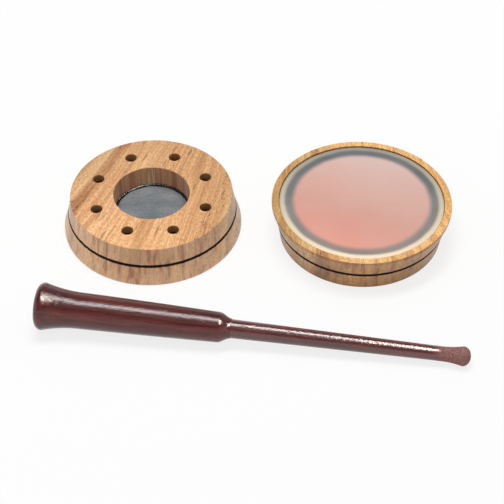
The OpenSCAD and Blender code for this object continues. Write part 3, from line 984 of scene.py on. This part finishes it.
# %% Outline of the peg
ROOT_R, NECK_R, TIP_R, TENON_R = 4.87, 3.78, 5.05, 3.95
TENON_END, TIP_FLARE, TIP_CAP, STRIKER_END = 75.8, 207.9, 4.0, 222.3
TIP_EDGE = STRIKER_END - TIP_CAP


def peg_outline():
    """From the end of the tenon over the thin neck to the rounded tip."""
    points = [(0.0, TENON_END), (TENON_R, TENON_END), (TENON_R, HANDLE_END), (ROOT_R, HANDLE_END)]
    for t in steps(40):
        points.append((ROOT_R + (NECK_R - ROOT_R) * t, HANDLE_END + (TIP_FLARE - HANDLE_END) * t))
    for t in steps(24):
        points.append((NECK_R + (TIP_R - NECK_R) * t * t, TIP_FLARE + (TIP_EDGE - TIP_FLARE) * t))
    for t in steps(20)[:-1]:
        angle = math.radians(90 * t)
        points.append((TIP_R * math.cos(angle), TIP_EDGE + TIP_CAP * math.sin(angle)))
    return points + [(0.0, STRIKER_END)]


print("points of the peg's outline:", len(peg_outline()))

# %% [markdown]
# ## The lathe itself
#
# Merge by Distance closes the two poles, where all copies of the first and the last point meet.
# An edge sharper than 35 degrees stays sharp and the rest is shaded smooth, so that highlights
# run along the stick without a break.

# %% Geometry Nodes tree for a turned piece
def lathe_tree():
    """Turns an outline round, lays it along X and sets it in its place."""
    tree = bpy.data.node_groups.new("turned_on_a_lathe", "GeometryNodeTree")
    declare(tree, {"Outline": "Geometry", "Facets": "Int", "Sharp from": "Float", "Place": "Vector",
                   "Turn": "Rotation", "Wood": "Material"})
    given = add(tree, "NodeGroupInput").outputs
    outline = add(tree, "GeometryNodeMeshToCurve", {0: given["Outline"]})
    spindle = {"Resolution": given["Facets"], "Radius": 0.001 * MM}
    spindle = add(tree, "GeometryNodeCurvePrimitiveCircle", spindle)
    spindle = add(tree, "GeometryNodeSetCurveNormal", {"Curve": spindle}, mode="Z_UP")
    wood = add(tree, "GeometryNodeCurveToMesh", {"Curve": spindle, "Profile Curve": outline})
    wood = add(tree, "GeometryNodeMergeByDistance", {"Geometry": wood, "Distance": 0.005 * MM})
    wood = add(tree, "GeometryNodeTransform", {"Geometry": wood, "Rotation": Euler((0, -math.pi / 2, 0))})
    wood = add(tree, "GeometryNodeTransform",
               {"Geometry": wood, "Translation": given["Place"], "Rotation": given["Turn"]})
    wood = add(tree, "GeometryNodeSetShadeSmooth", {"Geometry": wood})
    bend = add(tree, "GeometryNodeInputMeshEdgeAngle")
    sharp = add(tree, "ShaderNodeMath", {0: bend, 1: given["Sharp from"]}, operation="GREATER_THAN")
    wood = add(tree, "GeometryNodeSetShadeSmooth",
               {"Geometry": wood, "Selection": sharp, "Shade Smooth": False}, domain="EDGE")
    wood = add(tree, "GeometryNodeRealizeInstances", {0: wood})
    wood = add(tree, "GeometryNodeSetMaterial", {"Geometry": wood, "Material": given["Wood"]})
    add(tree, "NodeGroupOutput", {0: wood})
    return tree


lathe = lathe_tree()
print(lathe.name, len(lathe.nodes), "nodes")

# %% [markdown]
# ## The striker's dark hardwood
#
# The striker is a heavy purplish-brown wood with hardly any bands, only fine dark lines along
# the stick and short dark pores. A wide, slow pattern makes it here browner, there more purple.
#
# The tip is sanded rough so that it grips the glass, and has no lacquer. Its dust leaves it
# paler and pinkish. The lacquer stops raggedly, about 17 mm before the end.

# %% Dark hardwood of the striker
AXIS_START = Vector((-110.045, -44.933, 12.456)) * MM     # middle of the butt
AXIS_TURN = Euler((0, math.radians(1.9449), math.radians(-7.4)))
LACQUER_END = 204.5     # millimetres from the butt
BARE_FROM = 209.0
LINES = [(0.30, "#431A19"), (0.46, "#612826"), (0.60, "#702F2B"), (0.76, "#87423B")]
HUES = [(0.36, "#C8B4BE"), (0.64, "#FFF4E8")]
DARK_PORE = "#2A1314"
SANDED = [(0.34, "#7C504F"), (0.50, "#936865"), (0.66, "#AE857F")]


def on_striker(tree):
    """The spot's place in millimetres, with X along the stick from the middle of its butt."""
    spot = add(tree, "ShaderNodeTexCoord")
    lie = {"Location": AXIS_START, "Rotation": AXIS_TURN, "Scale": (MM, MM, MM)}
    lie["Vector"] = spot.outputs["Object"]
    return add(tree, "ShaderNodeMapping", lie, vector_type="TEXTURE")


def dark_hardwood(tree, point):
    """Colour of the wood under its lacquer, and how high its lines and pores stand."""
    slow = blotches(tree, point, (70, 7, 7))
    lines = blotches(tree, point, (22, 0.9, 0.9), 3.0, 0.65)
    tone = add(tree, "ShaderNodeValToRGB", {0: lines}, stops=LINES)
    tint = add(tree, "ShaderNodeValToRGB", {0: slow}, stops=HUES)
    tone = add(tree, "ShaderNodeMix", {0: 1.0, 6: tone, 7: tint}, **MULTIPLIED)
    core = long_cells(tree, point, (3.0, 0.8, 0.8)).outputs["Distance"]
    pore = add(tree, "ShaderNodeMapRange", {0: core, 1: 0.12, 2: 0.36, 3: 1.0, 4: 0.0})
    shadow = add(tree, "ShaderNodeMath", {0: pore, 1: 0.6}, operation="MULTIPLY")
    tone = add(tree, "ShaderNodeMix", {0: shadow, 6: tone, 7: linear(DARK_PORE)}, data_type="RGBA")
    relief = add(tree, "ShaderNodeMath", {0: lines, 1: 0.5}, operation="MULTIPLY")
    relief = add(tree, "ShaderNodeMath", {0: relief, 1: pore}, operation="SUBTRACT")
    return tone, relief, pore


def bare_tip(tree, point):
    """How bare the wood is, from 0 to 1, and its dust."""
    along = add(tree, "ShaderNodeSeparateXYZ", {0: point}).outputs[0]
    ragged = blotches(tree, point, (3, 1.2, 1.2))
    edge = add(tree, "ShaderNodeMath", {0: ragged, 1: 3.0, 2: along}, operation="MULTIPLY_ADD")
    bare = add(tree, "ShaderNodeMapRange", {0: edge, 1: LACQUER_END, 2: BARE_FROM, 3: 0.0, 4: 1.0})
    return bare, blotches(tree, point, (0.9, 0.9, 0.9), 3.0, 0.7)


print("the stick falls", round(math.degrees(AXIS_TURN.y), 2), "degrees from butt to tip")

# %% [markdown]
# ## Clear lacquer over it
#
# The gloss comes from a thick clear lacquer, which the shader has as a separate coat. Sprayed
# lacquer dries with a fine orange peel, and that breaks the long white highlights into grains,
# as on the real stick. On the flare of the butt it ran together in sags before it set, and
# there the highlight spreads.
#
# The wood under the coat gets hardly any reflection of its own, because the lacquer fills its
# surface and there is no air between them to mirror anything.

# %% Lacquered hardwood
def lacquered_hardwood(name, coat_ior):
    """Dense dark hardwood under clear lacquer, rough and bare at the tip."""
    material, tree = new_material(name)
    point = on_striker(tree)
    tone, relief, pore = dark_hardwood(tree, point)
    bare, dust = bare_tip(tree, point)
    sanded = add(tree, "ShaderNodeValToRGB", {0: dust}, stops=SANDED)
    tone = add(tree, "ShaderNodeMix", {0: bare, 6: tone, 7: sanded}, data_type="RGBA")
    relief = add(tree, "ShaderNodeMix", {0: bare, 2: relief, 3: dust}, data_type="FLOAT")
    bump = add(tree, "ShaderNodeBump", {"Height": relief, "Strength": 0.5, "Distance": 0.15 * MM})

    along = add(tree, "ShaderNodeSeparateXYZ", {0: point}).outputs[0]
    peel = blotches(tree, point, (1.6, 1.0, 1.0), 2.0, 0.75)
    sags = blotches(tree, point, (2.0, 1.6, 1.6), 2.0, 0.6)
    thick = add(tree, "ShaderNodeMapRange", {0: along, 1: 5.0, 2: 24.0, 3: 1.6, 4: 0.0})
    peel = add(tree, "ShaderNodeMath", {0: sags, 1: thick, 2: peel}, operation="MULTIPLY_ADD")
    peel = add(tree, "ShaderNodeMath", {0: pore, 1: -0.2, 2: peel}, operation="MULTIPLY_ADD")
    film = add(tree, "ShaderNodeBump", {"Height": peel, "Strength": 0.85, "Distance": 0.15 * MM})
    rough = add(tree, "ShaderNodeMapRange", {0: bare, 1: 0.0, 2: 1.0, 3: 0.42, 4: 0.85})
    lacquer = add(tree, "ShaderNodeMath", {0: 1.0, 1: bare}, operation="SUBTRACT")
    surface = add(tree, "ShaderNodeBsdfPrincipled",
                  {"Base Color": tone, "Roughness": rough, "IOR": 1.5, "Specular IOR Level": 0.04,
                   "Coat Weight": lacquer, "Coat Roughness": 0.14, "Coat IOR": coat_ior,
                   "Normal": bump, "Coat Normal": film})
    add(tree, "ShaderNodeOutputMaterial", {"Surface": surface})
    return material


print("materials so far:", len(bpy.data.materials))

# %% [markdown]
# ## Turning the two pieces
#
# The outlines become meshes of points and edges, and the lathe does the rest. Their many facets
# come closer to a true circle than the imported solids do, so they are drawn a hair smaller and
# stay inside the box of the engineering model.

# %% Handle and peg
HAIR = 0.02             # millimetres
FACETS = 112
SHARP_FROM = math.radians(35)
COAT_IOR = {"handle": 1.5, "peg": 1.75}     # the peg mirrors more strongly


def drawn(name, outline):
    """An outline in millimetres as a chain of edges, a hair inside the engineering model."""
    mesh = bpy.data.meshes.new(name)
    places = []
    for radius, along in outline:
        inside = min(max(along, HAIR), STRIKER_END - HAIR)
        places.append((max(radius - HAIR, 0) * MM, inside * MM, 0))
    mesh.from_pydata(places, [(i, i + 1) for i in range(len(places) - 1)], [])
    return mesh


for part, outline in (("handle", handle_outline()), ("peg", peg_outline())):
    wood = lacquered_hardwood("hardwood_turned_glossy_lacquer_" + part, COAT_IOR[part])
    stick = shaped("striker_" + part + "_turned", lathe, {
        "Facets": FACETS, "Sharp from": SHARP_FROM, "Place": AXIS_START, "Turn": AXIS_TURN,
        "Wood": wood}, drawn(part + "_outline", outline))
    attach(stick, "striker")
    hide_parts("striker_" + part)
    gleaming.objects.link(stick)

# %% [markdown]
# ## Finish
#
# The view layer is brought up to date. The visual model has to stay inside the box of the
# engineering model.

# %% Finish
bpy.context.view_layer.update()
